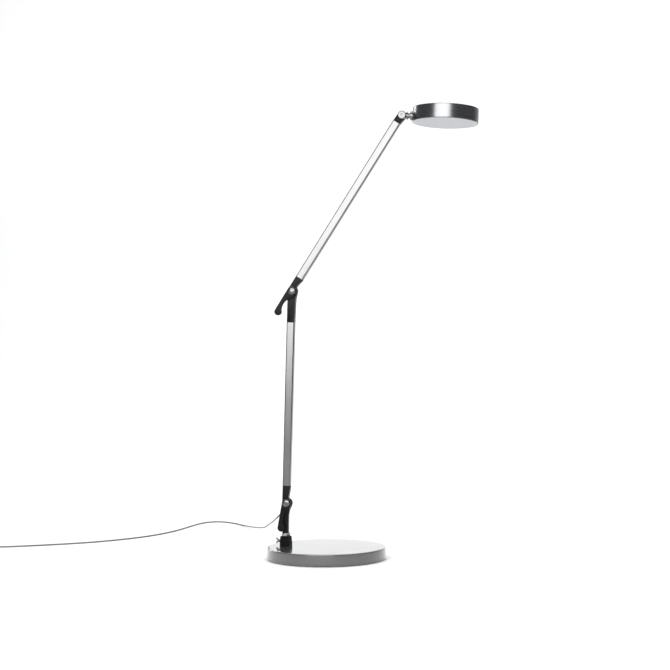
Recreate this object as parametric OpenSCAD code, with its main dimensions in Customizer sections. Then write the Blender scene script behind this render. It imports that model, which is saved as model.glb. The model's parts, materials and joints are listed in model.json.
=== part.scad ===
// Architect desk lamp: a round weighted base, a swivelling stem, two square aluminium arms with clamped
// friction joints, and a round light head on a short neck. The arms lie in the plane Y = 0, the head
// points towards +X, and the origin is the centre of the base's underside.

/* [Base] */
// Diameter of the base at its top edge
base_d = 230; // [220:1:240]
// Height of the base
base_h = 23; // [22:1:26]
// Radius of the rounded top edge of the base
base_edge_r = 2; // [1:0.5:3]
// Distance from the base's centre back to the swivel axis
swivel_back = 80; // [76:1:84]

/* [Socket] */
// Width of the tapered socket at its foot
socket_foot = 19; // [19:0.5:22]
// Width of the tapered socket at its top
socket_top = 16; // [15.5:0.5:18]
// Height of the socket above the base
socket_h = 19; // [18:0.5:21]
// Turn of the socket about the swivel axis
socket_turn = -18; // [-30:1:0]

/* [Arms] */
// Lower arm, pivot to pivot
lower_len = 413; // [380:1:440]
// Lean of the lower arm from upright, towards the head
lower_lean = 1.9; // [0:0.1:5]
// Upper arm, pivot to pivot
upper_len = 400; // [380:1:430]
// Lean of the upper arm from upright, towards the head
upper_lean = 33; // [25:1:45]
// Width of the square arm tubes
tube_w = 15.5; // [15.5:0.5:17]
// Outer corner radius of the arm tubes
tube_r = 2.5; // [1.5:0.5:3]

/* [Joints] */
// Radius of the forked hubs
hub_r = 9.2; // [9:0.1:9.5]
// Radius of the round lobe between the fork's cheeks
lobe_r = 10; // [9.8:0.1:10.2]
// Diameter of the bright bolt caps on the arm joints
cap_d = 15; // [13:0.5:16]
// Length of the clamp levers from the pivot to the middle of their round end
lever_len = 49; // [44:0.5:50]

/* [Head] */
// Diameter of the light head
head_d = 127; // [125:1:131]
// Height of the light head
head_h = 28; // [28:0.5:30]
// Downward tilt of the head
head_tilt = 3; // [0:0.5:6]

/* [Cord] */
// Diameter of the low-voltage cord
cord_d = 3; // [3:0.1:3.2]
// Diameter of the cord's coil at the middle of its turns
coil_d = 34; // [33:0.5:35]

/* [Hidden] */
$fn = 64;

// Base stack
base_r = base_d / 2;
foot_flare = 0.7;
pad_t = 2;
weight_t = 9;
weight_r = base_r - 5;
cover_t = 2;
cover_lift = 0.8;
plate_under = base_h - cover_t;
weight_top = pad_t + weight_t;
base_screw_ring = 88;
swivel_x = -swivel_back;
pin_r = 5;
fit = 0.05;
gap = 0.3;
bush_r = 6.2;
socket_screw_off = 6.6;
socket_z = base_h + socket_h;
thumb_z = base_h + 9.5;
collar_r = 8.6;
collar_z = socket_z + gap;
collar_h = 6;
stem_z = collar_z + collar_h;

// Joint stack across the arms, measured along Y from the middle plane
tongue_half = 3.3;
cheek_in = 4.3;
cheek_out = 7.5;
washer_t = 0.7;
bolt_r = 2.5;
body_half = 7.2;
stem_half = 6;
pocket_r = lobe_r + 0.8;
shoulder_r = hub_r + 0.7;
lever_in = cheek_out + 0.6;
lever_t = 3.7;
lever_out = lever_in + lever_t;

// Arm frames: the tube runs a little behind the line of its pivots
tube_x = -2;
insert_half = 7.2;
insert_l = tube_x - insert_half;
insert_r = tube_x + insert_half;
tube_wall = 1.5;
spigot = tube_w - 2 * tube_wall - 0.4;
spigot_len = 25;
lower_start = 33.5;
lower_end = lower_len - 61.5;
upper_start = 28.5;
upper_end = upper_len - 17;
lead_r = 1.5;
lead_bore_r = 2;
pivot = [-76.5, 0, 106.5];
elbow = pivot + lower_len * [sin(lower_lean), 0, cos(lower_lean)];
head_pivot = elbow + upper_len * [sin(upper_lean), 0, cos(upper_lean)];

// Neck and head, along the neck's axis from the head pivot
fork_r = 7.9;
head_lobe_r = 7.4;
head_pocket_r = head_lobe_r + 2.4;
flange_x = 8.6;
flange_t = 2.4;
flange_r = 8;
shaft_r = 5.5;
collar_x = 16;
neck_pin_r = 4;
neck_bush_r = 6;
block_end = 38;
block_start = 19;
head_r = head_d / 2;
head_x = 83.5;
head_under = -13.5;
head_top = head_under + head_h;
shell_t = 2;
shell_edge_r = 1.5;
back_z = -7.7;
inner_r = head_r - shell_t;
optic_r = inner_r - 2;
button_r = 7;
button_rise = 1.6;

// Cord: the gland leaves the stem's back face leaning down
gland_at = [-85.7, 1, 86.5];
gland_turn = -125;
gland_len = 8;
cord_r = cord_d / 2;
coil_mid = [-735, 42];
coil_lift = 0.6;
coil_half_w = 3;
coil_h = 9;
end_z = coil_lift + 7.1;
cord_route = [
    [-92.6, 1, 81.6], [-95, 2, 80], [-98.5, 6.5, 77], [-103.5, 16, 73], [-111, 34, 67.5], [-122, 62, 60.5],
    [-134, 95, 53.5], [-147, 135, 45.5], [-161, 180, 37.5], [-177, 230, 29.5], [-195, 285, 22],
    [-215, 340, 15], [-238, 395, 9], [-264, 447, 4.5], [-292, 493, 2], [-320, 528, 1.5], [-346, 548, 1.5],
    [-369, 551, 1.5], [-387, 536, 1.5], [-398, 504, 1.5], [-404, 460, 1.5], [-409, 411, 1.5],
    [-417, 361, 1.5], [-431, 311, 1.5], [-453, 262, 1.5], [-484, 216, 1.5], [-523, 173, 1.5],
    [-570, 136, 1.5], [-620, 106, 1.5], [-668, 80, 1.6], [-703, 64, 1.9], [-733, 60.5, 2.1]
];
adapter_size = [62, 34, 28];
adapter_at = [-772, -40, 0];
relief_len = 15;
relief_at = [coil_mid.x - coil_d / 2, adapter_at.y + adapter_size.y, end_z];

// Placing helpers
module in_lower() { translate(pivot) rotate([0, lower_lean, 0]) children(); }
module in_elbow() { translate(elbow) rotate([0, lower_lean, 0]) children(); }
module in_upper() { translate(elbow) rotate([0, upper_lean, 0]) children(); }
module in_fork() { translate(head_pivot) rotate([0, upper_lean, 0]) children(); }
module in_head() { translate(head_pivot) rotate([0, head_tilt, 0]) children(); }
module at_swivel() { translate([swivel_x, 0, 0]) children(); }
module in_socket() { at_swivel() rotate([0, 0, socket_turn]) children(); }
module in_gland() { translate(gland_at) rotate([0, gland_turn, 0]) children(); }
module at_head(z) { translate([head_x, 0, z]) children(); }

// Extrudes an outline drawn in X and Z across Y, from y0 to y1
module slab(y0, y1) { translate([0, y1, 0]) rotate([90, 0, 0]) linear_extrude(y1 - y0) children(); }
// Cylinder along Y and along X
module along_y(y0, y1, r) { translate([0, y0, 0]) rotate([-90, 0, 0]) cylinder(h = y1 - y0, r = r); }
module along_x(x0, x1, r) { translate([x0, 0, 0]) rotate([0, 90, 0]) cylinder(h = x1 - x0, r = r); }
module ring(r_in, r_out, h) {
    difference() {
        cylinder(h = h, r = r_out);
        translate([0, 0, -1]) cylinder(h = h + 2, r = r_in);
    }
}
module rounded_square(w, r) {
    square([w, w - 2 * r], center = true);
    square([w - 2 * r, w], center = true);
    for (x = [-1, 1], y = [-1, 1]) translate([x * (w / 2 - r), y * (w / 2 - r)]) circle(r);
}
// Quarter arc about a centre, as outline points
function arc(c, r, a0, a1, n = 6) = [
    for (i = [0:n])
        let (a = a0 + (a1 - a0) * i / n)
        c + r * [cos(a), sin(a)]
];

// ---- Base ----
module base_pad() {
    color("dimgray") cylinder(h = pad_t, r = base_r - 4, $fn = 128);
}
module base_screw_places() {
    for (a = [0, 120, 240])
        translate(base_screw_ring * [cos(a), sin(a), 0]) children();
}
module base_weight() {
    color("slategray") difference() {
        translate([0, 0, pad_t]) cylinder(h = weight_t, r = weight_r, $fn = 128);
        base_screw_places() {
            translate([0, 0, pad_t - 1]) cylinder(h = weight_t + 2, r = 2.3);
            translate([0, 0, pad_t - 1]) cylinder(h = 3.6, r = 4.2);
        }
    }
}
module base_cover() {
    outer = concat([[0, base_h]], arc([base_r - base_edge_r, base_h - base_edge_r], base_edge_r, 90, 0),
        [[base_r + foot_flare, cover_lift]]);
    inner = [[base_r + foot_flare - cover_t, cover_lift], [base_r - cover_t, plate_under], [0, plate_under]];
    color("lightgray") difference() {
        union() {
            rotate_extrude($fn = 160) polygon(concat(outer, inner));
            base_screw_places() translate([0, 0, weight_top])
                cylinder(h = plate_under - weight_top + 0.5, r = 5);
        }
        base_screw_places() translate([0, 0, weight_top - 1]) cylinder(h = 9, r = 1.9);
        at_swivel() translate([0, 0, plate_under - 1]) cylinder(h = cover_t + 2, r = pin_r + 0.6);
        in_socket() socket_screw_places() translate([0, 0, plate_under - 1]) cylinder(h = cover_t + 2, r = 1.7);
    }
}
module base_screws() {
    color("silver") base_screw_places() {
        translate([0, 0, pad_t]) cylinder(h = 2.5, r = 4);
        translate([0, 0, pad_t + 2.5]) cylinder(h = 13.5, r = 1.85);
    }
}
module socket_screw_places() {
    for (s = [-1, 1]) translate([s * socket_screw_off, s * socket_screw_off, 0]) children();
}
module socket_taper() {
    polygon([
        [-socket_foot / 2, base_h], [socket_foot / 2, base_h],
        [socket_top / 2, socket_z], [-socket_top / 2, socket_z]
    ]);
}
module socket() {
    color("#202124") in_socket() difference() {
        intersection() {
            slab(-socket_foot, socket_foot) socket_taper();
            rotate([0, 0, 90]) slab(-socket_foot, socket_foot) socket_taper();
            cylinder(h = 60, r = socket_foot * 0.66);
        }
        translate([0, 0, base_h - 1]) cylinder(h = socket_h + 2, r = bush_r);
        socket_screw_places() translate([0, 0, base_h - 1]) cylinder(h = 11, r = 1.55);
        translate([0, 0, thumb_z]) along_x(-20, 0, 2 + fit);
    }
}
module socket_screws() {
    color("silver") in_socket() socket_screw_places() {
        translate([0, 0, plate_under - 2]) cylinder(h = 2, r = 2.6);
        translate([0, 0, plate_under]) cylinder(h = 10, r = 1.5);
    }
}
module swivel_bush() {
    color("ivory") in_socket() difference() {
        translate([0, 0, base_h]) ring(pin_r + fit, bush_r, socket_h);
        translate([0, 0, thumb_z]) along_x(-20, 0, 2 + fit);
    }
}
module thumb_screw() {
    color("silver") in_socket() translate([0, 0, thumb_z]) {
        along_x(-15.2, -pin_r - 0.4, 2);
        along_x(-17.2, -12.2, 3.2);
        slab(-1, 1) thumb_wings();
    }
}
module thumb_wings() {
    polygon([
        [-15.6, -2.2], [-20.4, -5.6], [-22.2, -5.2], [-22.2, -3.4], [-18.8, 0],
        [-22.2, 3.4], [-22.2, 5.2], [-20.4, 5.6], [-15.6, 2.2]
    ]);
}
module swivel_pin() {
    color("silver") at_swivel() {
        translate([0, 0, 16]) cylinder(h = stem_z - 16, r = pin_r);
        translate([0, 0, stem_z]) cylinder(h = 17, r = 3.5);
    }
}
module pin_retainer() {
    color("gray") at_swivel() translate([0, 0, plate_under - 1.8]) ring(pin_r, 6.6, 1.4);
}

// ---- Stem ----
module stem_collar() {
    c = 0.7;
    color("silver") at_swivel() translate([0, 0, collar_z]) rotate_extrude() polygon([
        [pin_r, 0], [collar_r - c, 0], [collar_r, c],
        [collar_r, collar_h - c], [collar_r - c, collar_h], [pin_r, collar_h]]);
}
// Round lobe and post of a joint's lower piece; pts is the post's outline below the pivot
module knuckle(pts, half, r) {
    difference() {
        union() {
            slab(-tongue_half, tongue_half) {
                circle(r);
                polygon(pts);
            }
            difference() {
                slab(-half, half) polygon(pts);
                along_y(-half - 1, half + 1, shoulder_r);
            }
        }
        along_y(-20, 20, bolt_r + fit);
    }
}
module stem() {
    foot = stem_z - pivot.z;
    side = [[-9.2, foot], [1.8, foot], [2.3, -24], [4.6, -14], [8.6, -5], [0, 0], [-9.2, 0]];
    color("#202124") difference() {
        translate(pivot) knuckle(side, stem_half, lobe_r);
        at_swivel() translate([0, 0, stem_z - 1]) cylinder(h = 19, r = 3.5 + fit);
        in_gland() gland_body();
    }
}
module gland_body() {
    translate([0, 0, -4]) cylinder(h = 4, r = 2.4);
    cylinder(h = gland_len, r1 = 2.9, r2 = 2);
}
module cord_gland() { color("#2b2c2e") in_gland() gland_body(); }

// ---- Arm joints ----
// Forked end: two cheeks round the pivot, a solid web, and a spigot that fills the tube
module clevis(end) {
    cheek = [
        [insert_l, 0], [insert_l, end], [insert_r, end], [insert_r, end - 4],
        [4.2, 20.5], [3.2, 16], [2.4, 8.5], [0, 0]
    ];
    difference() {
        union() {
            slab(-cheek_out, cheek_out) {
                circle(hub_r);
                polygon(cheek);
            }
            translate([tube_x, 0, end + spigot_len / 2]) cube([spigot, spigot, spigot_len], center = true);
        }
        along_y(-cheek_in, cheek_in, pocket_r);
        along_y(-20, 20, bolt_r + fit);
        translate([tube_x, 0, 5]) cylinder(h = end + spigot_len, r = lead_bore_r);
        translate([tube_x, 0, end + 12]) along_y(0, 20, 1.5);
    }
}
module washers(r) {
    for (s = [0, 1]) mirror([0, s, 0])
        translate([0, cheek_in, 0]) rotate([90, 0, 0]) ring(bolt_r + 0.1, r, washer_t);
}
// Bolt with a domed cap and a hexagon socket; the cap's inner face is at -y_cap
module bolt(y_cap, d, rise) {
    r = d / 2;
    difference() {
        union() {
            along_y(-y_cap - 0.1, 10.6, bolt_r);
            translate([0, -y_cap, 0]) rotate([90, 0, 0]) rotate_extrude() polygon(concat(
                [[0, 0], [r, 0], [r, rise * 0.35]],
                arc([r - rise * 0.65, rise * 0.35], rise * 0.65, 10, 90), [[0, rise]]));
        }
        translate([0, -y_cap - rise - 1, 0]) rotate([-90, 0, 0]) cylinder(h = 3.2, r = 2.9, $fn = 6);
    }
}
module nut() {
    difference() {
        union() {
            along_y(cheek_out, cheek_out + 0.8, 6.2);
            translate([0, cheek_out + 0.8, 0]) rotate([-90, 0, 0]) cylinder(h = 3.4, r = 5.2, $fn = 6);
        }
        along_y(0, 20, bolt_r + fit);
    }
}
// Clamp lever: round hub, a neck with one straight edge, and a round end
module lever_outline() {
    circle(8.9);
    translate([-1.3, -lever_len]) circle(7.2);
    difference() {
        polygon([[-8.9, 0], [-8.5, -lever_len], [6, -lever_len], [8.9, 0]]);
        translate([23.4, -30.5]) circle(24);
    }
}
module lever() {
    difference() {
        union() {
            slab(-lever_out, -lever_in) lever_outline();
            slab(-lever_out - 0.8, -lever_in) translate([-1.3, -lever_len]) circle(6.2);
        }
        along_y(-20, 0, bolt_r + fit);
    }
}
// Square tube with the screw holes of its end pieces
module arm_tube(z0, z1) {
    difference() {
        translate([tube_x, 0, z0]) linear_extrude(z1 - z0) difference() {
            rounded_square(tube_w, tube_r);
            rounded_square(tube_w - 2 * tube_wall, 0.5);
        }
        for (z = [z0 + 12, z1 - 12]) translate([tube_x, 0, z]) along_y(0, 20, 1.6);
    }
}
module tube_screws(z0, z1) {
    for (z = [z0 + 12, z1 - 12]) translate([tube_x, 0, z]) {
        along_y(3, tube_w / 2, 1.45);
        difference() {
            along_y(tube_w / 2, tube_w / 2 + 1.2, 2.7);
            translate([0, tube_w / 2 + 0.5, 0]) rotate([-90, 0, 0]) cylinder(h = 2, r = 1.2, $fn = 6);
        }
    }
}
module lead(z0, z1) { translate([tube_x, 0, z0]) cylinder(h = z1 - z0, r = lead_r); }

module lower_clevis() { color("#202124") in_lower() clevis(lower_start); }
module lower_washers() { color("ivory") in_lower() washers(8.4); }
module lower_bolt() { color("silver") in_lower() bolt(lever_out + 0.1, cap_d, 3.2); }
module lower_nut() { color("gray") in_lower() nut(); }
module lower_lever() { color("#202124") in_lower() rotate([0, 9, 0]) lever(); }
module lower_tube() { color("gainsboro") in_lower() arm_tube(lower_start, lower_end); }
module lower_tube_screws() { color("gray") in_lower() tube_screws(lower_start, lower_end); }
module lower_lead() { color("white") in_lower() lead(14, lower_end + 6); }
module elbow_knuckle() {
    foot = lower_end - lower_len;
    side = [[insert_l, foot], [insert_r, foot], [5.9, -24], [6.6, -14], [8.6, -5], [0, 0], [insert_l, 0]];
    color("#202124") in_elbow() difference() {
        union() {
            knuckle(side, body_half, lobe_r);
            translate([tube_x, 0, foot - spigot_len / 2]) cube([spigot, spigot, spigot_len], center = true);
        }
        translate([tube_x, 0, foot - spigot_len - 1]) cylinder(h = spigot_len + 9, r = lead_bore_r);
        translate([tube_x, 0, foot - 12]) along_y(0, 20, 1.5);
    }
}
module elbow_clevis() { color("#202124") in_upper() clevis(upper_start); }
module elbow_washers() { color("ivory") in_upper() washers(8.4); }
module elbow_bolt() { color("silver") in_upper() bolt(lever_out + 0.1, cap_d, 3.2); }
module elbow_nut() { color("gray") in_upper() nut(); }
module elbow_lever() { color("#202124") in_upper() lever(); }
module upper_tube() { color("whitesmoke") in_upper() arm_tube(upper_start, upper_end); }
module upper_tube_screws() { color("gray") in_upper() tube_screws(upper_start, upper_end); }
module upper_lead() { color("white") in_upper() lead(14, upper_end + 4); }
module head_fork() {
    foot = upper_end - upper_len;
    color("#202124") in_fork() difference() {
        union() {
            slab(-cheek_out, cheek_out) {
                circle(fork_r);
                polygon([[insert_l, foot], [insert_r, foot], [7.4, -2.5], [0, 0], [-fork_r, 0]]);
            }
            translate([tube_x, 0, foot - spigot_len / 2]) cube([spigot, spigot, spigot_len], center = true);
        }
        along_y(-cheek_in, cheek_in, head_pocket_r);
        along_y(-20, 20, bolt_r + fit);
        translate([tube_x, 0, foot - spigot_len - 1]) cylinder(h = spigot_len + 14, r = lead_bore_r);
        translate([tube_x, 0, foot - 12]) along_y(0, 20, 1.5);
    }
}

// ---- Neck ----
module head_washers() { color("ivory") in_fork() washers(7); }
module head_bolt() { color("silver") in_fork() bolt(cheek_out, 16.8, 3); }
module head_nut() { color("gray") in_fork() nut(); }
module neck_spindle() {
    color("silver") in_head() difference() {
        union() {
            slab(-tongue_half, tongue_half) {
                circle(head_lobe_r);
                translate([0, -5]) square([flange_x + 0.5, 10]);
            }
            along_x(flange_x, flange_x + flange_t, flange_r);
            along_x(flange_x + flange_t, collar_x - gap, shaft_r);
            along_x(collar_x - gap - 0.1, block_end + 3.9, neck_pin_r);
        }
        along_y(-20, 20, bolt_r + fit);
    }
}
module neck_nut() {
    color("gray") in_head() translate([block_end + gap, 0, 0]) rotate([0, 90, 0]) difference() {
        cylinder(h = 3.4, r = 6, $fn = 6);
        translate([0, 0, -1]) cylinder(h = 6, r = neck_pin_r + fit);
    }
}
module neck_collar() {
    color("silver") in_head() difference() {
        along_x(collar_x, collar_x + 5.5, 9.3);
        along_x(collar_x - 1, collar_x + 8, neck_bush_r);
        at_head(-20) cylinder(h = 40, r = head_r, $fn = 160);
    }
}
module neck_bush() {
    color("ivory") in_head() difference() {
        along_x(collar_x, block_end, neck_bush_r);
        along_x(collar_x - 1, block_end + 1, neck_pin_r + fit);
    }
}
module neck_screw_places() { for (y = [-8, 8]) translate([31, y, 0]) children(); }
module neck_block() {
    color("gray") in_head() difference() {
        intersection() {
            translate([block_start, -11, -6.5]) cube([block_end - block_start, 22, head_top - shell_t + 6.5]);
            at_head(-20) cylinder(h = 40, r = inner_r, $fn = 160);
        }
        along_x(10, block_end + 1, neck_bush_r);
        neck_screw_places() translate([0, 0, 3]) cylinder(h = 20, r = 1.25);
    }
}
module neck_screws() {
    color("silver") in_head() neck_screw_places() {
        translate([0, 0, 5]) cylinder(h = head_top - 5.2, r = 1.25);
        translate([0, 0, head_top]) ring(1, 2.6, 0.9);
        translate([0, 0, head_top - 0.3]) cylinder(h = 0.6, r = 1.25);
    }
}

// ---- Head ----
module head_shell() {
    e = shell_edge_r;
    outline = concat([[0, head_top]], arc([head_r - e, head_top - e], e, 90, 0), [[head_r, head_under]],
        [[inner_r, head_under], [inner_r, head_top - shell_t], [0, head_top - shell_t]]);
    color("#4a4b4f") in_head() difference() {
        union() {
            at_head(0) rotate_extrude($fn = 160) polygon(outline);
            plate_screw_places() translate([0, 0, back_z + 1]) cylinder(h = head_top - shell_t - back_z - 0.8, r = 3);
        }
        along_x(10, 30, neck_bush_r);
        neck_screw_places() cylinder(h = 30, r = 1.3);
        plate_screw_places() translate([0, 0, back_z]) cylinder(h = 10, r = 1.3);
        at_head(0) cylinder(h = 30, r = button_r + gap);
    }
}
module plate_screw_places() {
    at_head(0) for (a = [45, 135, 225, 315]) rotate([0, 0, a]) translate([48, 0, 0]) children();
}
module back_plate() {
    color("silver") in_head() difference() {
        at_head(back_z) cylinder(h = 1, r = inner_r - 0.3, $fn = 128);
        plate_screw_places() translate([0, 0, back_z - 1]) cylinder(h = 3, r = 1.4);
    }
}
module plate_screws() {
    color("gray") in_head() plate_screw_places() translate([0, 0, back_z + 0.2]) cylinder(h = 7, r = 1.25);
}
module reflector_sheet() {
    color("white") in_head() at_head(back_z - 0.4) cylinder(h = 0.4, r = optic_r, $fn = 128);
}
module led_strip() {
    color("lightyellow") in_head() at_head(back_z - 4) ring(optic_r + 0.3, inner_r - 0.4, 3.8, $fn = 128);
}
module light_guide() {
    color("azure", 0.6) in_head() at_head(back_z - 3.8) cylinder(h = 3.2, r = optic_r, $fn = 128);
}
module diffuser() {
    color("white") in_head() at_head(head_under + 0.4) cylinder(h = 1.4, r = optic_r - 0.1, $fn = 128);
}
module bezel() {
    color("lightgray") in_head() at_head(head_under + 0.1) ring(optic_r, inner_r - 0.1, 1.5, $fn = 128);
}
module driver_board() {
    color("darkgreen") in_head() at_head(0) {
        translate([-18, -14, -5.6]) cube([40, 28, 1.4]);
        translate([-4, -4, -4.2]) cube([8, 8, 6]);
        translate([10, -8, -4.2]) cube([8, 16, 7]);
    }
}
module power_button() {
    color("#303134") in_head() at_head(0) {
        translate([0, 0, 3.4]) cylinder(h = 6, r = 2.4);
        translate([0, 0, 9.2]) cylinder(h = 1.6, r = button_r + 1.4);
        translate([0, 0, 10.6]) cylinder(h = head_top + button_rise - 10.6, r = button_r);
    }
}

// ---- Cord ----
// Points of a smooth curve through a route, three to each stretch
function spline(a, b, c, d, t) = 0.5 * (2 * b + (c - a) * t + (2 * a - 5 * b + 4 * c - d) * t * t
    + (3 * b - a - 3 * c + d) * t * t * t);
function smooth(p, n) = let (last = len(p) - 1) concat(
    [for (i = [0:last - 1], k = [0:n - 1])
        spline(p[max(i - 1, 0)], p[i], p[i + 1], p[min(i + 2, last)], k / n)],
    [p[last]]);
function unit(v) = v / norm(v);
function heading(p, i) = unit(p[min(i + 1, len(p) - 1)] - p[max(i - 1, 0)]);
// Round tube swept along points, with a level first axis in every ring
module swept_tube(p, r, sides = 8) {
    rings = [for (i = [0:len(p) - 1]) let (h = heading(p, i), u = unit(cross([0, 0, 1], h)), v = cross(h, u))
        for (k = [0:sides - 1]) p[i] + r * (cos(k * 360 / sides) * u + sin(k * 360 / sides) * v)];
    n = len(p);
    side_faces = [for (i = [0:n - 2], k = [0:sides - 1]) let (j = (k + 1) % sides)
        [i * sides + k, i * sides + j, (i + 1) * sides + j, (i + 1) * sides + k]];
    caps = [[for (k = [sides - 1:-1:0]) k], [for (k = [0:sides - 1]) (n - 1) * sides + k]];
    polyhedron(points = rings, faces = [
        for (f = concat(side_faces, caps)) [for (i = [len(f) - 1:-1:0]) f[i]]
    ]);
}
module cord_run() { color("silver") swept_tube(smooth(cord_route, 2), cord_r); }
module cord_coil() {
    color("silver") translate([coil_mid.x, coil_mid.y, coil_lift]) rotate_extrude()
        translate([coil_d / 2 - coil_half_w, 0]) square([2 * coil_half_w, coil_h]);
}
module coil_tie() {
    low = coil_d / 2 - coil_half_w;
    high = coil_d / 2 + coil_half_w;
    color("black") translate([coil_mid.x, coil_mid.y, 0]) difference() {
        translate([low - 0.8, -2, 0]) cube([high - low + 1.4, 4, coil_lift + coil_h + 0.6]);
        translate([low - 0.2, -3, coil_lift]) cube([high - low + 0.25, 6, coil_h]);
    }
}
module cord_end() {
    color("silver") swept_tube([[relief_at.x, coil_mid.y, end_z], relief_at + [0, relief_len, 0]], cord_r);
}
module adapter_body() {
    color("#2b2c2e") translate(adapter_at) difference() {
        cube(adapter_size);
        for (x = [-1, adapter_size.x + 1], z = [-1, adapter_size.z + 1])
            translate([x, -1, z]) rotate([0, 45, 0]) translate([-2, 0, -2]) cube([4, adapter_size.y + 2, 4]);
    }
}
module adapter_relief() {
    color("#2b2c2e") translate(relief_at) rotate([-90, 0, 0]) cylinder(h = relief_len, r1 = 3.4, r2 = 2);
}
module adapter_pins() {
    color("silver") for (y = [-9.5, 9.5])
        translate(adapter_at + [0, adapter_size.y / 2 + y, adapter_size.z / 2]) along_x(-19, 0, 2);
}

base_pad();
base_weight();
base_cover();
base_screws();
socket();
socket_screws();
swivel_bush();
thumb_screw();
swivel_pin();
pin_retainer();
stem_collar();
stem();
cord_gland();
lower_clevis();
lower_washers();
lower_bolt();
lower_nut();
lower_lever();
lower_tube();
lower_tube_screws();
lower_lead();
elbow_knuckle();
elbow_clevis();
elbow_washers();
elbow_bolt();
elbow_nut();
elbow_lever();
upper_tube();
upper_tube_screws();
upper_lead();
head_fork();
head_washers();
head_bolt();
head_nut();
neck_spindle();
neck_nut();
neck_collar();
neck_bush();
neck_block();
neck_screws();
head_shell();
back_plate();
plate_screws();
reflector_sheet();
led_strip();
light_guide();
diffuser();
bezel();
driver_board();
power_button();
cord_run();
cord_coil();
coil_tie();
cord_end();
adapter_body();
adapter_relief();
adapter_pins();
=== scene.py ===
"""Architect desk lamp: looks and studio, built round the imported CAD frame. Everything is in metres."""

import json
import math

import bmesh
import bpy
from mathutils import Matrix, Vector


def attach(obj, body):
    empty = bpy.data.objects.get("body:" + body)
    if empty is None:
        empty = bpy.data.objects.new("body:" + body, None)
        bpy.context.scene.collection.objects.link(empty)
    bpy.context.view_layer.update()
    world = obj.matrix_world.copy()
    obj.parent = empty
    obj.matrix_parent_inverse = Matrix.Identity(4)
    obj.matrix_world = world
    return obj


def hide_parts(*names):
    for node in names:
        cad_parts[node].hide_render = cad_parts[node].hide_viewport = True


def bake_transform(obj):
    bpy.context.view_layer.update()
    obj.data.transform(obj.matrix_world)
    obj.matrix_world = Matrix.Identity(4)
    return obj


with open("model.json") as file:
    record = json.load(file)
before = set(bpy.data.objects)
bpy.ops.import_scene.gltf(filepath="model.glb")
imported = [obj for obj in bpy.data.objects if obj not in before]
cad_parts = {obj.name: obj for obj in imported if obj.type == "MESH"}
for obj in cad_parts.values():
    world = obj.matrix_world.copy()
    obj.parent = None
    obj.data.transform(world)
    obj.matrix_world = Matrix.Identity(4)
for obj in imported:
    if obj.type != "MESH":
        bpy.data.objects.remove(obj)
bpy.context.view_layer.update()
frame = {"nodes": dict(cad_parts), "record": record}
nodes = frame["nodes"]

MM = 0.001
SHARP_ANGLE = math.radians(32)
BEVEL_ANGLE = math.radians(34)
WELD_DISTANCE = 2e-6
CENTRE_R = 0.00005

# ---------------------------------------------------------------- camera
CAMERA_AT = (0.4734, -2.5721, 0.3771)
CAMERA_TOWARD = (-0.1736, 0.9846, 0.0212)
CAMERA_ROLL = 0.0072
SENSOR_MM = 36
FOCAL_PX = 1345.6
PICTURE_PX = 670
CLIP_END = 60


def make_camera():
    """Camera at the photographed viewing angle, with its small roll."""
    forward = Vector(CAMERA_TOWARD).normalized()
    right = forward.cross(Vector((0, 0, 1))).normalized()
    up = right.cross(forward)
    x_axis = right * math.cos(CAMERA_ROLL) - up * math.sin(CAMERA_ROLL)
    y_axis = up * math.cos(CAMERA_ROLL) + right * math.sin(CAMERA_ROLL)
    data = bpy.data.cameras.new("studio_camera")
    data.sensor_width = SENSOR_MM
    data.lens = FOCAL_PX * SENSOR_MM / PICTURE_PX
    data.clip_end = CLIP_END
    camera = bpy.data.objects.new("studio_camera", data)
    bpy.context.scene.collection.objects.link(camera)
    turn = Matrix((x_axis, y_axis, -forward)).transposed().to_4x4()
    camera.matrix_world = Matrix.Translation(CAMERA_AT) @ turn
    bpy.context.scene.camera = camera


make_camera()


# ---------------------------------------------------------------- mesh helpers
def mesh_object(name, verts, faces, material, place=None):
    """An object from points and faces, moved into place by a matrix."""
    mesh = bpy.data.meshes.new(name)
    mesh.from_pydata([tuple(v) for v in verts], [], faces)
    bm = bmesh.new()
    bm.from_mesh(mesh)
    bmesh.ops.remove_doubles(bm, verts=bm.verts, dist=1e-7)
    bmesh.ops.recalc_face_normals(bm, faces=bm.faces)
    bm.to_mesh(mesh)
    bm.free()
    mesh.shade_smooth()
    mesh.set_sharp_from_angle(angle=SHARP_ANGLE)
    obj = bpy.data.objects.new(name, mesh)
    bpy.context.scene.collection.objects.link(obj)
    if place is not None:
        obj.matrix_world = place
    mesh.materials.append(material)
    return obj


def lathe(name, profile, material, place=None, segments=320, closed=False):
    """A turned piece: profile points are (radius, height); a closed profile has a real wall."""
    verts, faces = [], []
    n = len(profile)
    for i in range(segments):
        a = 2 * math.pi * i / segments
        for r, z in profile:
            verts.append((r * math.cos(a), r * math.sin(a), z))
    stretches = n if closed else n - 1
    for i in range(segments):
        j = (i + 1) % segments
        for k in range(stretches):
            m = (k + 1) % n
            faces.append((i * n + k, j * n + k, j * n + m, i * n + m))
    return mesh_object(name, verts, faces, material, place=place)


def arc(cx, cz, r, a0, a1, steps=10):
    """Points of an arc in the profile plane, angles in degrees."""
    out = []
    for i in range(steps + 1):
        a = math.radians(a0 + (a1 - a0) * i / steps)
        out.append((cx + r * math.cos(a), cz + r * math.sin(a)))
    return out


def frame_at(origin, z_axis, x_hint=(0, 1, 0)):
    """A matrix at a point with its Z along an axis."""
    z = Vector(z_axis).normalized()
    x = (Vector(x_hint) - z * Vector(x_hint).dot(z)).normalized()
    y = z.cross(x)
    return Matrix.Translation(origin) @ Matrix((x, y, z)).transposed().to_4x4()


def leaning(origin, degrees):
    """The frame of a piece that leans towards +X by an angle."""
    return Matrix.Translation(origin) @ Matrix.Rotation(math.radians(degrees), 4, "Y")


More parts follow.
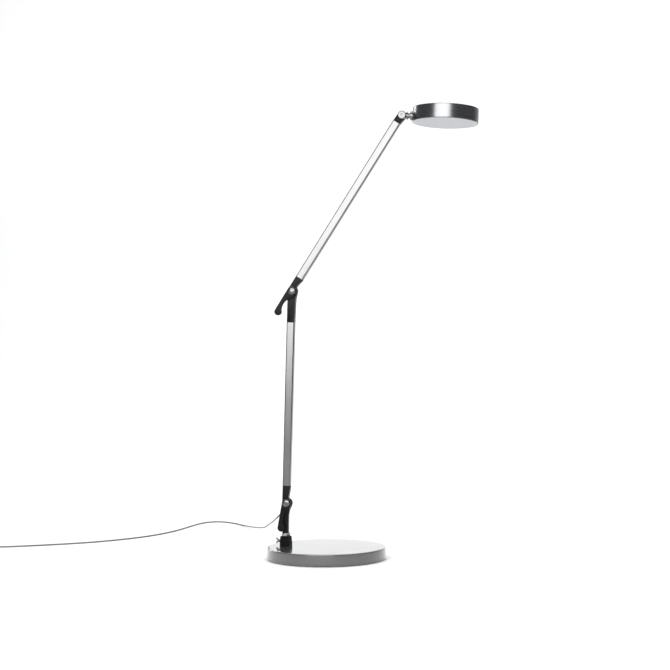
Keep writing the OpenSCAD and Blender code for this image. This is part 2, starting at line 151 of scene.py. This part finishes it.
def soften(node, width, segments=3):
    """Rounds a CAD node's sharp edges without touching its own points."""
    obj = nodes[node]
    weld = obj.modifiers.new("weld", "WELD")
    weld.merge_threshold = WELD_DISTANCE
    bevel = obj.modifiers.new("edge", "BEVEL")
    bevel.width = width
    bevel.segments = segments
    bevel.limit_method = "ANGLE"
    bevel.angle_limit = BEVEL_ANGLE
    bevel.harden_normals = True
    bevel.use_clamp_overlap = True


def dress(node, material):
    """Gives a CAD node its material."""
    mesh = nodes[node].data
    mesh.materials.clear()
    mesh.materials.append(material)
    for face in mesh.polygons:
        face.material_index = 0
        face.use_smooth = True
    mesh.set_sharp_from_angle(angle=SHARP_ANGLE)


# ---------------------------------------------------------------- material helpers
def new_material(name):
    """A material with its node tree and its Principled shader."""
    material = bpy.data.materials.new(name)
    material.use_nodes = True
    tree = material.node_tree
    shader = tree.nodes["Principled BSDF"]
    return material, tree, shader


def coords(tree, scale=(1, 1, 1)):
    """Object coordinates, stretched by a scale."""
    source = tree.nodes.new("ShaderNodeTexCoord")
    mapping = tree.nodes.new("ShaderNodeMapping")
    mapping.inputs["Scale"].default_value = scale
    tree.links.new(source.outputs["Object"], mapping.inputs["Vector"])
    return mapping.outputs["Vector"]


def noise(tree, vector, scale, detail=4.0, rough=0.55, distortion=0.0):
    """A noise factor along a vector."""
    node = tree.nodes.new("ShaderNodeTexNoise")
    node.inputs["Scale"].default_value = scale
    node.inputs["Detail"].default_value = detail
    node.inputs["Roughness"].default_value = rough
    node.inputs["Distortion"].default_value = distortion
    tree.links.new(vector, node.inputs["Vector"])
    return node.outputs["Fac"]


def spread(tree, fac, low, high, start=0.3, end=0.7):
    """Maps a factor from start..end to low..high."""
    node = tree.nodes.new("ShaderNodeMapRange")
    node.inputs["From Min"].default_value = start
    node.inputs["From Max"].default_value = end
    node.inputs["To Min"].default_value = low
    node.inputs["To Max"].default_value = high
    tree.links.new(fac, node.inputs["Value"])
    return node.outputs["Result"]


def ramp(tree, fac, stops):
    """A colour ramp from (position, colour) stops."""
    node = tree.nodes.new("ShaderNodeValToRGB")
    while len(node.color_ramp.elements) < len(stops):
        node.color_ramp.elements.new(0.5)
    for element, (where, colour) in zip(node.color_ramp.elements, stops):
        element.position = where
        element.color = (*colour, 1)
    tree.links.new(fac, node.inputs["Fac"])
    return node.outputs["Color"]


def bump(tree, shader, height, distance, strength):
    """Fine relief on a shader, from a height."""
    node = tree.nodes.new("ShaderNodeBump")
    node.inputs["Distance"].default_value = distance
    node.inputs["Strength"].default_value = strength
    tree.links.new(height, node.inputs["Height"])
    tree.links.new(node.outputs["Normal"], shader.inputs["Normal"])


def grained_metal(name, dark, light, rough, stretch, grain, depth=0.00002):
    """Metal with a fine drawn or brushed grain; stretch is small along the grain."""
    material, tree, shader = new_material(name)
    along = coords(tree, stretch)
    fine = noise(tree, along, grain, 5.0, 0.65)
    broad = noise(tree, coords(tree), 14.0, 3.0, 0.5)
    fine_share = 0.55
    mix = tree.nodes.new("ShaderNodeMath")
    mix.operation = "MULTIPLY_ADD"
    mix.inputs[1].default_value = fine_share
    tree.links.new(fine, mix.inputs[0])
    rest = tree.nodes.new("ShaderNodeMath")
    rest.operation = "MULTIPLY"
    rest.inputs[1].default_value = 1 - fine_share
    tree.links.new(broad, rest.inputs[0])
    tree.links.new(rest.outputs[0], mix.inputs[2])
    tree.links.new(ramp(tree, mix.outputs[0], [(0.34, dark), (0.66, light)]), shader.inputs["Base Color"])
    tree.links.new(spread(tree, mix.outputs[0], rough[0], rough[1]), shader.inputs["Roughness"])
    shader.inputs["Metallic"].default_value = 1.0
    bump(tree, shader, fine, depth, 0.6)
    return material


def moulded(name, dark, light, rough, pebble=2600.0, depth=0.00001, specular=0.5, scuff=60.0):
    """Moulded plastic or rubber with a fine skin texture and faint handling marks."""
    material, tree, shader = new_material(name)
    place = coords(tree)
    broad = noise(tree, place, scuff, 5.0, 0.6, 0.4)
    fine = noise(tree, place, pebble, 2.0, 0.5)
    tree.links.new(ramp(tree, broad, [(0.3, dark), (0.72, light)]), shader.inputs["Base Color"])
    tree.links.new(spread(tree, broad, rough[0], rough[1]), shader.inputs["Roughness"])
    shader.inputs["Specular IOR Level"].default_value = specular
    bump(tree, shader, fine, depth, 0.5)
    return material


def grey(v, warm=0.0):
    """A grey, a little warm or cold."""
    return (v * (1 + warm), v, v * (1 - warm))


# ---------------------------------------------------------------- materials
black_plastic = moulded("black_moulding", grey(0.005), grey(0.009), (0.24, 0.38), specular=0.09)
button_plastic = moulded("button_plastic", grey(0.02), grey(0.03), (0.3, 0.42))
adapter_plastic = moulded("adapter_plastic", grey(0.018), grey(0.028), (0.42, 0.55), 1800.0, 0.00004)
cord_rubber = moulded("cord_rubber", grey(0.018), grey(0.03), (0.45, 0.6), 2200.0, 0.00002)
nylon = moulded("ivory_nylon", grey(0.62, 0.05), grey(0.72, 0.05), (0.35, 0.5))
opal = moulded(
    "opal_acrylic", (0.335, 0.35, 0.375), (0.375, 0.39, 0.415), (0.30, 0.38), 3200.0, 0.000004, scuff=9.0
)
rim_opal = moulded(
    "opal_rim", (0.52, 0.53, 0.55), (0.57, 0.58, 0.60), (0.24, 0.32), 3200.0, 0.000004, scuff=9.0
)
opal_shader = opal.node_tree.nodes["Principled BSDF"]
opal_shader.inputs["Subsurface Weight"].default_value = 0.15
opal_shader.inputs["Subsurface Radius"].default_value = (0.002, 0.002, 0.002)
felt = moulded("felt_pad", grey(0.02), grey(0.035), (0.85, 0.95), 900.0, 0.0002)
white_film = moulded("white_film", grey(0.80), grey(0.88), (0.3, 0.4))
phosphor = moulded("led_phosphor", (0.85, 0.62, 0.12), (0.9, 0.7, 0.2), (0.5, 0.6))
board = moulded("circuit_board", (0.01, 0.12, 0.04), (0.02, 0.17, 0.06), (0.3, 0.4))
cord_skin = moulded(
    "cord_sheath", grey(0.10, 0.01), grey(0.145, 0.01), (0.32, 0.45), 1500.0, 0.00002, scuff=25.0
)
nickel = grained_metal(
    "bright_steel", grey(0.29), grey(0.37), (0.12, 0.24), (1, 1, 1), 700.0, depth=0.000004
)
# Painted shade: a darker copy of the bright steel, used on the head bolt cap and the neck spindle so they
# render darker.
nickel_painted_shade = grained_metal(
    "nickel_painted_shade", grey(0.13), grey(0.17), (0.14, 0.24), (1, 1, 1), 700.0, depth=0.000004
)
black_nickel = grained_metal(
    "black_nickel", grey(0.12), grey(0.17), (0.06, 0.14), (1, 1, 1), 700.0, depth=0.000004
)
zinc = grained_metal("zinc_steel", grey(0.42), grey(0.55), (0.25, 0.4), (1, 1, 1), 500.0)
raw_steel = grained_metal("raw_steel", grey(0.22), grey(0.32), (0.35, 0.5), (1, 0.05, 1), 300.0)
raw_aluminium = grained_metal("raw_aluminium", grey(0.5), grey(0.6), (0.35, 0.5), (1, 1, 1), 400.0)
tube_metal = grained_metal(
    "satin_aluminium", grey(0.155), grey(0.188), (0.19, 0.25), (1, 1, 0.012), 1400.0
)
turned_dark = grained_metal(
    "dark_anodised", (0.165, 0.165, 0.172), (0.215, 0.215, 0.224), (0.22, 0.30),
    (0.012, 0.012, 1), 2600.0, depth=0.00001
)


def base_paint_material():
    """Silver paint: fine flake under a clear coat with a slight orange peel."""
    material, tree, shader = new_material("base_paint")
    place = coords(tree)
    flakes = tree.nodes.new("ShaderNodeTexVoronoi")
    flakes.inputs["Scale"].default_value = 2600.0
    tree.links.new(place, flakes.inputs["Vector"])
    flake_tone = ramp(tree, flakes.outputs["Distance"], [(0.1, grey(0.085)), (0.8, grey(0.135))])
    tree.links.new(flake_tone, shader.inputs["Base Color"])
    wipe = noise(tree, coords(tree, (1, 3, 1)), 22.0, 6.0, 0.6, 0.8)
    tree.links.new(spread(tree, wipe, 0.18, 0.27), shader.inputs["Roughness"])
    shader.inputs["Metallic"].default_value = 0.55
    shader.inputs["Coat Weight"].default_value = 1.0
    shader.inputs["Coat Roughness"].default_value = 0.03
    shader.inputs["Coat IOR"].default_value = 1.5
    bump(tree, shader, noise(tree, place, 420.0, 2.0), 0.00001, 0.25)
    return material


base_paint = base_paint_material()


def clear_acrylic_material():
    """Clear sheet with the light guide's dot print."""
    material, tree, shader = new_material("clear_acrylic")
    dots = tree.nodes.new("ShaderNodeTexVoronoi")
    dots.inputs["Scale"].default_value = 500.0
    tree.links.new(coords(tree), dots.inputs["Vector"])
    tree.links.new(spread(tree, dots.outputs["Distance"], 0.3, 0.05, 0.1, 0.5), shader.inputs["Roughness"])
    shader.inputs["Base Color"].default_value = (0.9, 0.94, 0.94, 1)
    shader.inputs["Transmission Weight"].default_value = 0.9
    return material


clear_acrylic = clear_acrylic_material()

SLOT_LOOKS = {
    "felt_pad": felt, "raw_steel": raw_steel, "base_paint": base_paint, "zinc_steel": zinc,
    "black_moulding": black_plastic, "ivory_nylon": nylon, "bright_steel": nickel,
    "black_nickel": black_nickel, "cord_rubber": cord_rubber, "satin_aluminium": tube_metal,
    "cord_sheath": cord_skin, "raw_aluminium": raw_aluminium, "dark_anodised": turned_dark,
    "white_film": white_film, "led_phosphor": phosphor, "clear_acrylic": clear_acrylic,
    "opal_acrylic": opal, "circuit_board": board, "button_plastic": button_plastic,
    "adapter_plastic": adapter_plastic,
}
for part in frame["record"]["subparts"]:
    dress(part["node"], SLOT_LOOKS[part["material_slot"]])
# Painted shade: the neck spindle takes the darker copy of the bright steel.
dress("neck_spindle", nickel_painted_shade)


# ---------------------------------------------------------------- places, from part.scad
LOWER_LEAN = 1.9
UPPER_LEAN = 33.0
HEAD_TILT = 3.0
LOWER_LENGTH = 0.413
UPPER_LENGTH = 0.400
HEAD_OFFSET = 0.0835
GLAND_AT = (-0.0857, 0.001, 0.0865)
GLAND_TURN = -125.0
RELIEF_AT = (-0.752, -0.006, 0.0077)
TUBE_WIDTH = 0.0155
TUBE_CORNER = 0.0025
TUBE_WALL = 0.0015
TUBE_OFFSET = -0.002
BASE_RADIUS = 0.115
BASE_HEIGHT = 0.023


def along_arm(degrees):
    """The direction of an arm that leans towards +X by an angle."""
    a = math.radians(degrees)
    return Vector((math.sin(a), 0, math.cos(a)))


PIVOT = Vector((-0.0765, 0, 0.1065))
ELBOW = PIVOT + LOWER_LENGTH * along_arm(LOWER_LEAN)
HEAD_PIVOT = ELBOW + UPPER_LENGTH * along_arm(UPPER_LEAN)
in_lower = leaning(PIVOT, LOWER_LEAN)
in_upper = leaning(ELBOW, UPPER_LEAN)
in_fork = leaning(HEAD_PIVOT, UPPER_LEAN)
in_head = leaning(HEAD_PIVOT, HEAD_TILT)
head_centre = in_head @ Matrix.Translation((HEAD_OFFSET, 0, 0))


# ---------------------------------------------------------------- cord fittings
def ribbed(name, node, body, place, length, r0, r1, ribs):
    """A tapered rubber sleeve with moulded ribs."""
    land, chamfer, groove = 0.0012, 0.0003, 0.00045
    profile = [(CENTRE_R, 0), (r0 - chamfer, 0), (r0, chamfer)]
    step = (length - 2 * land) / ribs
    for k in range(ribs):
        z = land + k * step
        wide = r0 + (r1 - r0) * (z + step * 0.3) / length
        slim = wide - groove
        profile += [(wide, z), (wide, z + step * 0.5), (slim, z + step * 0.58), (slim, z + step * 0.92)]
    profile += [(r1, length - 3 * chamfer), (r1, length - chamfer)]
    profile += [(r1 - chamfer, length), (CENTRE_R, length)]
    obj = lathe(name, profile, cord_rubber, place, 64)
    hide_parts(node)
    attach(obj, body)
    return obj


gland_place = leaning(GLAND_AT, GLAND_TURN)
ribbed("cord_gland_sleeve", "cord_gland", "stem", gland_place, 0.008, 0.0029, 0.0020, 4)
relief_place = frame_at(RELIEF_AT, (0, 1, 0), (1, 0, 0))
adapter_sleeve = ribbed("adapter_sleeve", "adapter_relief", "root", relief_place, 0.015, 0.0034, 0.0020, 7)


# ---------------------------------------------------------------- cord
CORD_D = 0.003
# In millimetres, as in part.scad: from the gland, over the floor, to the start of the coil.
CORD_ROUTE = [
    (-92.6, 1, 81.6), (-95, 2, 80), (-98.5, 6.5, 77), (-103.5, 16, 73), (-111, 34, 67.5), (-122, 62, 60.5),
    (-134, 95, 53.5), (-147, 135, 45.5), (-161, 180, 37.5), (-177, 230, 29.5), (-195, 285, 22),
    (-215, 340, 15), (-238, 395, 9), (-264, 447, 4.5), (-292, 493, 2), (-320, 528, 1.5), (-346, 548, 1.5),
    (-369, 551, 1.5), (-387, 536, 1.5), (-398, 504, 1.5), (-404, 460, 1.5), (-409, 411, 1.5),
    (-417, 361, 1.5), (-431, 311, 1.5), (-453, 262, 1.5), (-484, 216, 1.5), (-523, 173, 1.5),
    (-570, 136, 1.5), (-620, 106, 1.5), (-668, 80, 1.6), (-703, 64, 1.9), (-733, 60.5, 2.1),
]
COIL_MID = (-735, 42)
COIL_R = 17.0
COIL_TURNS = 4
COIL_STEPS = 48
COIL_HALF_GAP = 1.45
COIL_LOW, COIL_HIGH, TAIL_HEIGHT = 2.1, 5.1, 7.7
CHANGE_FROM = 0.72


def eased(t):
    """A smooth step from 0 to 1."""
    return t * t * (3 - 2 * t)


def on_coil(radius, angle, z):
    """A point round the middle of the coil."""
    return Vector((COIL_MID[0] + radius * math.cos(angle), COIL_MID[1] + radius * math.sin(angle), z))


def catmull(points, per):
    """A smooth curve through points, as the CAD tube has it."""
    out = []
    last = len(points) - 1
    for i in range(last):
        a, b, c, d = (Vector(points[max(0, min(last, k))]) for k in (i - 1, i, i + 1, i + 2))
        for k in range(per):
            t = k / per
            out.append(0.5 * (2 * b + (c - a) * t + (2 * a - 5 * b + 4 * c - d) * t * t
                              + (3 * b - a - 3 * c + d) * t * t * t))
    out.append(Vector(points[last]))
    return out


def coil_points():
    """The tied coil: turns in two layers, wound anticlockwise from its far side, then out to the adapter."""
    seats = [(side * COIL_HALF_GAP, z) for z in (COIL_LOW, COIL_HIGH) for side in (1, -1)]
    out = []
    for turn in range(COIL_TURNS):
        here = seats[turn]
        after = seats[min(turn + 1, COIL_TURNS - 1)]
        for k in range(COIL_STEPS):
            t = k / COIL_STEPS
            move = eased(max(0.0, (t - CHANGE_FROM) / (1 - CHANGE_FROM)))
            off = here[0] + (after[0] - here[0]) * move
            z = here[1] + (after[1] - here[1]) * move
            out.append(on_coil(COIL_R + off, math.pi / 2 + 2 * math.pi * t, z))
    out_steps, rise_steps = 12, 9
    for k in range(out_steps):
        t = eased(min(1.0, k / rise_steps))
        z = COIL_HIGH + (TAIL_HEIGHT - COIL_HIGH) * t
        out.append(on_coil(COIL_R - COIL_HALF_GAP * (1 - t), math.pi / 2 + math.pi / 2 * k / out_steps, z))
    return out


def sweep(name, points, radius, material, sides=16):
    """A round tube along points, with caps."""
    verts, faces = [], []
    n = len(points)
    up = Vector((0, 0, 1))
    for i, p in enumerate(points):
        ahead = (points[min(i + 1, n - 1)] - points[max(i - 1, 0)]).normalized()
        u = up.cross(ahead).normalized()
        v = ahead.cross(u)
        for k in range(sides):
            a = 2 * math.pi * k / sides
            verts.append(p + radius * (math.cos(a) * u + math.sin(a) * v))
    for i in range(n - 1):
        for k in range(sides):
            j = (k + 1) % sides
            faces.append((i * sides + k, i * sides + j, (i + 1) * sides + j, (i + 1) * sides + k))
    faces.append(tuple(range(sides))[::-1])
    faces.append(tuple((n - 1) * sides + k for k in range(sides)))
    return mesh_object(name, verts, faces, material)


def build_cord():
    """The cord's whole centreline in metres, and its length."""
    run = catmull(CORD_ROUTE, 6)
    coil = coil_points()
    tail = [Vector((COIL_MID[0] - COIL_R, COIL_MID[1] - d, TAIL_HEIGHT)) for d in range(0, 24, 3)]
    line = run[:-1] + coil + tail
    for _ in range(3):
        between = [(a + 2 * b + c) / 4 for a, b, c in zip(line, line[1:], line[2:])]
        line = [line[0]] + between + [line[-1]]
    line = [p * MM for p in line]
    return line, sum((b - a).length for a, b in zip(line, line[1:]))


cord_line, cord_length = build_cord()
cord = sweep("power_cord", cord_line, CORD_D / 2, cord_skin)
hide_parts("cord_run", "cord_coil", "cord_end")
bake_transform(cord)


# ---------------------------------------------------------------- base
def build_base():
    """The turned cover: rolled rim, flared skirt and a real wall."""
    r, h, e = BASE_RADIUS, BASE_HEIGHT, 0.002
    flare, lift, t = 0.0007, 0.0008, 0.002
    centre = 0.0003
    rim = arc(r - e, h - e, e, 90, 2)
    foot = r + flare
    skirt = [(foot - flare * 0.04, lift + 0.0006), (foot - 0.0001, lift + 0.00015), (foot - 0.0004, lift)]
    inside = [(foot - t, lift), (r - t, h - t)]
    rings = [(x, h) for x in (0.03, 0.06, 0.09, 0.105)]
    profile = [(centre, h)] + rings + rim + skirt + inside + [(centre, h - t)]
    cover = lathe("base_cover_shell", profile, base_paint, closed=True)
    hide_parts("base_cover")
    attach(cover, "root")


build_base()
for name, width in (("base_pad", 0.0004), ("base_weight", 0.0006)):
    soften(name, width)

# ---------------------------------------------------------------- black mouldings and small hardware
for name, width in (
    ("socket", 0.0009), ("stem", 0.0009), ("lower_clevis", 0.0007), ("elbow_knuckle", 0.0008),
    ("elbow_clevis", 0.0007), ("head_fork", 0.0007),
):
    soften(name, width, 4)
for name in ("lower_lever", "elbow_lever"):
    soften(name, 0.0011, 5)
for name, width in (
    ("thumb_screw", 0.0004), ("lower_nut", 0.0003), ("elbow_nut", 0.0003), ("head_nut", 0.0003),
    ("neck_spindle", 0.0005), ("neck_collar", 0.0004), ("lower_tube_screws", 0.0002),
    ("upper_tube_screws", 0.0002), ("neck_screws", 0.0002), ("swivel_pin", 0.0003),
    ("stem_collar", 0.0003), ("power_button", 0.0006), ("adapter_body", 0.0018),
    ("adapter_pins", 0.0011), ("coil_tie", 0.0002),
):
    soften(name, width)


def hexagon(r, angle):
    """Distance from the middle to the side of a hexagon of corner radius r."""
    a = (angle % (math.pi / 3)) - math.pi / 6
    return r * math.cos(math.pi / 6) / math.cos(a)


def dome_cap(name, place, radius, rise, socket, material, land):
    """A bolt head: a hexagon socket in a polished dome with a flat top of radius land."""
    n = 144
    depth = 0.0022
    bore = 0.0026
    rings = []
    edge = rise * 0.28

    def dome(r):
        t = min(1.0, max(0.0, (r - land) / (radius - land)))
        return edge + (rise - edge) * math.sqrt(max(0.0, 1 - t * t))

    def add(radius_of, z):
        angles = [2 * math.pi * i / n for i in range(n)]
        rings.append([(radius_of(a), a, z) for a in angles])

    top = dome(socket * 1.06)
    add(lambda a: CENTRE_R, top - depth)
    add(lambda a: hexagon(socket, a) - 0.0001, top - depth)
    add(lambda a: hexagon(socket, a), top - depth + 0.0001)
    add(lambda a: hexagon(socket, a), top - 0.0003)
    add(lambda a: hexagon(socket, a) + 0.00025, top)
    for s in (0.0, 0.14, 0.28, 0.42, 0.56, 0.68, 0.78, 0.86, 0.92, 0.96, 0.985, 1.0):
        r = socket * 1.12 + (radius - socket * 1.12) * s
        add(lambda a, r=r: r, dome(r))
    add(lambda a: radius, 0.0001)
    add(lambda a: radius - 0.0001, 0.0)
    add(lambda a: bore, 0.0)
    verts, faces = [], []
    for ring in rings:
        verts += [(r * math.cos(a), r * math.sin(a), z) for r, a, z in ring]
    for k in range(len(rings) - 1):
        for i in range(n):
            j = (i + 1) % n
            faces.append((k * n + i, k * n + j, (k + 1) * n + j, (k + 1) * n + i))
    faces.append(tuple(range(n))[::-1])
    faces.append(tuple((len(rings) - 1) * n + i for i in range(n)))
    return mesh_object(name, verts, faces, material, place=place)


def build_bolt(name, node, body, place, y_cap, diameter, rise, socket, look, land=0.0):
    """A joint bolt: polished cap, plain shank and chamfered end."""
    outward = place @ frame_at((0, -y_cap, 0), (0, -1, 0), (1, 0, 0))
    inward = place @ frame_at((0, -y_cap, 0), (0, 1, 0), (1, 0, 0))
    cap = dome_cap(name + "_cap", outward, diameter / 2, rise, socket, look, land)
    shank_r, chamfer, end = 0.0025, 0.0004, y_cap + 0.0106
    outline = [(CENTRE_R, 0), (shank_r, 0), (shank_r, end - chamfer)]
    outline += [(shank_r - chamfer, end), (CENTRE_R, end)]
    shank = lathe(name + "_shank", outline, zinc, inward, 64)
    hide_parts(node)
    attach(cap, body)
    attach(shank, body)


for name, node, body, place in (
    ("lower_joint", "lower_bolt", "lower_arm", in_lower),
    ("elbow_joint", "elbow_bolt", "upper_arm", in_upper),
):
    build_bolt(name, node, body, place, y_cap=0.0119, diameter=0.015, rise=0.0032, socket=0.0029,
               look=black_nickel)
# Painted shade: the head bolt cap takes the darker copy of the bright steel.
build_bolt("head_joint", "head_bolt", "upper_arm", in_fork, y_cap=0.0075, diameter=0.0168, rise=0.0030,
           socket=0.0024, look=nickel_painted_shade, land=0.0064)


# ---------------------------------------------------------------- arm tubes
def rounded_ring(half, r, z, steps=7):
    """Points round a rounded square at a height."""
    out = []
    for cx, cy, a0 in ((1, 1, 0), (-1, 1, 90), (-1, -1, 180), (1, -1, 270)):
        for i in range(steps + 1):
            a = math.radians(a0 + 90 * i / steps)
            out.append((cx * (half - r) + r * math.cos(a), cy * (half - r) + r * math.sin(a), z))
    return out


def build_tube(name, node, body, place, z0, z1):
    """A square tube with rounded corners, deburred ends and a real wall."""
    half, r = TUBE_WIDTH / 2, TUBE_CORNER
    deburr = 0.00025
    spans = [(half - deburr, r - deburr, 0.0), (half, r, deburr)]
    lengths = 12
    outer = [rounded_ring(a, b, z0 + z) for a, b, z in spans]
    outer += [rounded_ring(half, r, z0 + (z1 - z0) * k / lengths) for k in range(1, lengths)]
    outer += [rounded_ring(a, b, z1 - z) for a, b, z in reversed(spans)]
    inner = [rounded_ring(half - TUBE_WALL, r - TUBE_WALL, z) for z in (z1, z0)]
    rings = outer + inner
    n = len(rings[0])
    verts = [p for ring in rings for p in ring]
    faces = []
    for k in range(len(rings)):
        m = (k + 1) % len(rings)
        for i in range(n):
            j = (i + 1) % n
            faces.append((k * n + i, k * n + j, m * n + j, m * n + i))
    place = place @ Matrix.Translation((TUBE_OFFSET, 0, 0))
    obj = mesh_object(name, verts, faces, tube_metal, place)
    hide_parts(node)
    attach(obj, body)


build_tube("lower_arm_tube", "lower_tube", "lower_arm", in_lower, z0=0.0335, z1=0.3515)
build_tube("upper_arm_tube", "upper_tube", "upper_arm", in_upper, z0=0.0285, z1=0.383)


# ---------------------------------------------------------------- head
def build_head():
    """The drum with its fine groove, the ring and the opal disc in its mouth."""
    r, top, under = 0.0635, 0.0145, -0.0135
    e, t = 0.0015, 0.002
    hole = 0.0073
    crown = [(hole, top - t), (hole, top - 0.0003), (hole + 0.0003, top)]
    crown += [(x, top) for x in (0.02, 0.035, 0.05, 0.057)]
    groove_depth = 0.00025
    groove = [(0.0586, top), (0.0588, top - groove_depth), (0.0592, top - groove_depth), (0.0594, top)]
    side = [(r, z) for z in (0.010, 0.005, 0.0, -0.005, -0.010, -0.0128)]
    inner = r - t
    lip = [(r - 0.0002, under + 0.0002), (r - 0.0006, under)]
    lip += [(inner + 0.0003, under), (inner, under + 0.0003)]
    profile = crown + groove + arc(r - e, top - e, e, 88, 0) + side + lip + [(inner, top - t)]
    shell = lathe("head_drum", profile, turned_dark, head_centre, closed=True)
    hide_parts("head_shell")
    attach(shell, "head")
    disc_r = 0.0594
    mouth = disc_r + 0.0001
    ring = [(mouth, under + 0.0016), (mouth, under + 0.0006), (mouth + 0.0003, under + 0.0002),
            (mouth + 0.0007, under + 0.0001), (inner - 0.0006, under + 0.0001),
            (inner - 0.0002, under + 0.0003), (inner - 0.0001, under + 0.0016)]
    bezel = lathe("bezel_ring", ring, rim_opal, head_centre, closed=True)
    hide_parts("bezel")
    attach(bezel, "head")
    back, face = under + 0.0018, under + 0.0004
    disc = [(CENTRE_R, back), (disc_r, back), (disc_r, under + 0.0006), (disc_r - 0.0003, face)]
    disc += [(x, face) for x in (0.055, 0.045, 0.03, 0.015, CENTRE_R)]
    diffuser = lathe("diffuser_disc", disc, opal, head_centre, 256)
    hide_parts("diffuser")
    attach(diffuser, "head")


build_head()


# ---------------------------------------------------------------- studio
def floor_material(name, value, rough):
    """Pale paper, a little darker in front of the picture: painted shade in place of the light falling off
    there.
    """
    material, tree, shader = new_material(name)
    tone = ramp(tree, noise(tree, coords(tree), 3.0), [(0.3, grey(value * 0.985)), (0.7, grey(value))])
    split = tree.nodes.new("ShaderNodeSeparateXYZ")
    tree.links.new(coords(tree), split.inputs["Vector"])
    # Painted shade: a mask over Y that darkens the floor's colour towards the camera.
    front_shade_mask = spread(tree, split.outputs["Y"], 0.0, 1.0, -1.45, -0.98)
    shade = ramp(tree, front_shade_mask, [(0.0, grey(0.80)), (1.0, grey(1.0))])
    mix = tree.nodes.new("ShaderNodeMix")
    mix.data_type = "RGBA"
    mix.blend_type = "MULTIPLY"
    mix.inputs["Factor"].default_value = 1.0
    tree.links.new(tone, mix.inputs[6])
    tree.links.new(shade, mix.inputs[7])
    tree.links.new(mix.outputs[2], shader.inputs["Base Color"])
    shader.inputs["Roughness"].default_value = rough
    shader.inputs["Specular IOR Level"].default_value = 0.2
    return material


def build_studio():
    """Floor and backdrop in one sweep, four soft lights and a dim world."""
    floor_look = floor_material("studio_floor", 0.86, 0.85)
    half_width, front, bend, bend_r, top, drop, bend_steps = 9.0, -9.0, 4.0, 2.0, 7.0, 0.0002, 12
    back = [(front, 0.0), (bend, 0.0)]
    for k in range(1, bend_steps + 1):
        a = math.pi / 2 * k / bend_steps
        back.append((bend + bend_r * math.sin(a), bend_r - bend_r * math.cos(a)))
    back.append((bend + bend_r, top))
    verts, faces = [], []
    for y, z in back:
        verts += [(-half_width, y, z - drop), (half_width, y, z - drop)]
    for i in range(len(back) - 1):
        faces.append((2 * i, 2 * i + 1, 2 * i + 3, 2 * i + 2))
    floor = mesh_object("studio_floor", verts, faces, floor_look)

    def area(name, place, aim, size_x, size_y, watts):
        data = bpy.data.lights.new(name, "AREA")
        data.shape = "RECTANGLE"
        data.size = size_x
        data.size_y = size_y
        data.energy = watts
        light = bpy.data.objects.new(name, data)
        bpy.context.scene.collection.objects.link(light)
        toward = (Vector(aim) - Vector(place)).normalized()
        turn = toward.to_track_quat("-Z", "Y").to_matrix().to_4x4()
        light.matrix_world = Matrix.Translation(place) @ turn

    area("overhead", (0.0, 0.9, 3.2), (0.0, 0.9, 0.0), 4.5, 3.4, watts=138)
    area("front_box", (-0.16, -3.6, 1.35), (0.0, 0.0, 0.7), 3.5, 2.0, watts=126)
    area("backdrop_wash", (-0.9, 2.6, 3.4), (-0.9, 6.0, 1.4), 8.0, 1.5, watts=165)
    area("left_rim", (-2.9, 2.5, 1.5), (0.1, 0.0, 0.7), 0.45, 2.0, watts=26)

    world = bpy.data.worlds.new("studio_world")
    bpy.context.scene.world = world
    world.use_nodes = True
    background = world.node_tree.nodes["Background"]
    background.inputs["Color"].default_value = (0.95, 0.97, 1.0, 1)
    background.inputs["Strength"].default_value = 0.2
    bpy.context.scene.view_settings.view_transform = "Standard"


build_studio()
